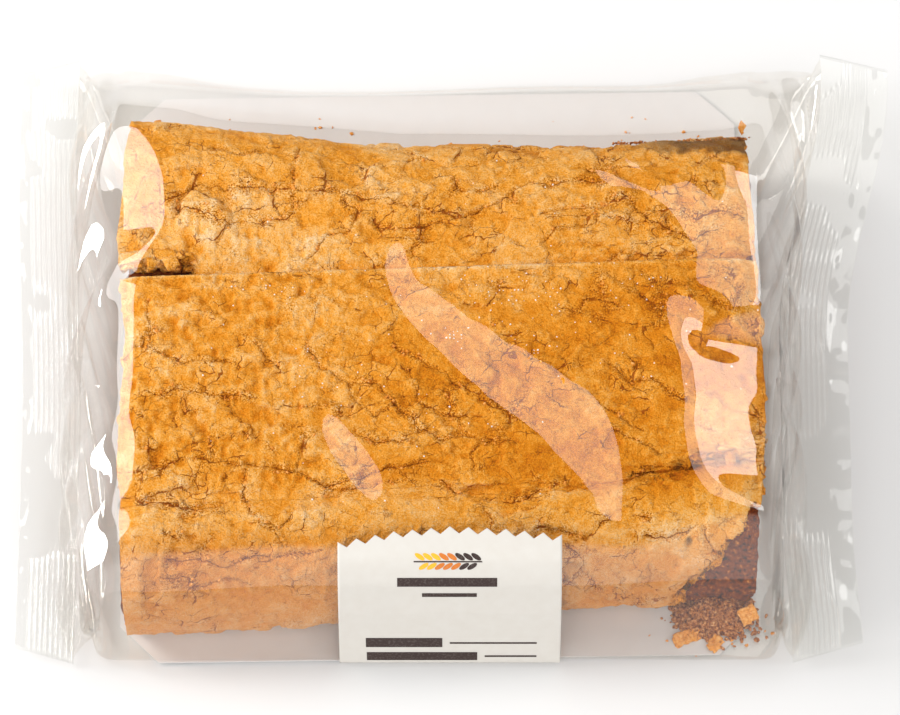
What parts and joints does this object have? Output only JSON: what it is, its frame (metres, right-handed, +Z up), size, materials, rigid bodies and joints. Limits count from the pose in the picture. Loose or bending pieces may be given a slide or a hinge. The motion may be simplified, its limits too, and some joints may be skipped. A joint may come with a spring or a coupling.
{
  "type": "packed apple strudel",
  "caption": "Ready-baked apple strudel on a white card in a clear flow-wrap pouch with crimped end seals and a pinked paper label over its front edge.",
  "frame": {"origin": "middle of the underside of the pack", "axes": "+X along the pack from the left seal to the right seal, +Y from the labelled front edge to the back, +Z up"},
  "size_m": [0.246, 0.1821, 0.0392],
  "materials": {
    "film": "clear glossy film",
    "label_paper": "matt label paper"
  },
  "bodies": {
    "root": {"film_pack": "film", "label": "label_paper"}
  },
  "joints": []
}
